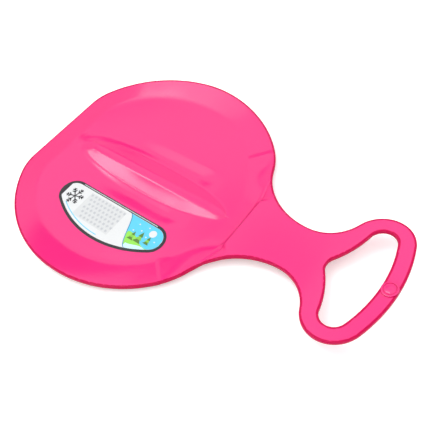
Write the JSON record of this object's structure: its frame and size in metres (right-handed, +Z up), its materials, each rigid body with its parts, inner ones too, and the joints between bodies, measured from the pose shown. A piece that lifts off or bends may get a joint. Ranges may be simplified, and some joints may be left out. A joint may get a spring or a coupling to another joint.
{
  "type": "snow slider sled",
  "caption": "Round one-piece snow slider with raised rim, centre ridge and runner channels, a necked loop handle and a seat label.",
  "frame": {"origin": "middle of the bounding box in X and Y, at the height of the flat soles under the two runner channels", "axes": "+X from the rear edge of the seat to the end of the handle, +Y across the seat, +Z up"},
  "size_m": [0.56, 0.3788, 0.0404],
  "materials": {
    "body_plastic": "glossy injection-moulded pink polyethylene",
    "label_film": "printed glossy film, white field with a dark grey border and a blue and green motif"
  },
  "bodies": {
    "root": {"slider_body": "body_plastic", "label": "label_film"}
  },
  "joints": []
}
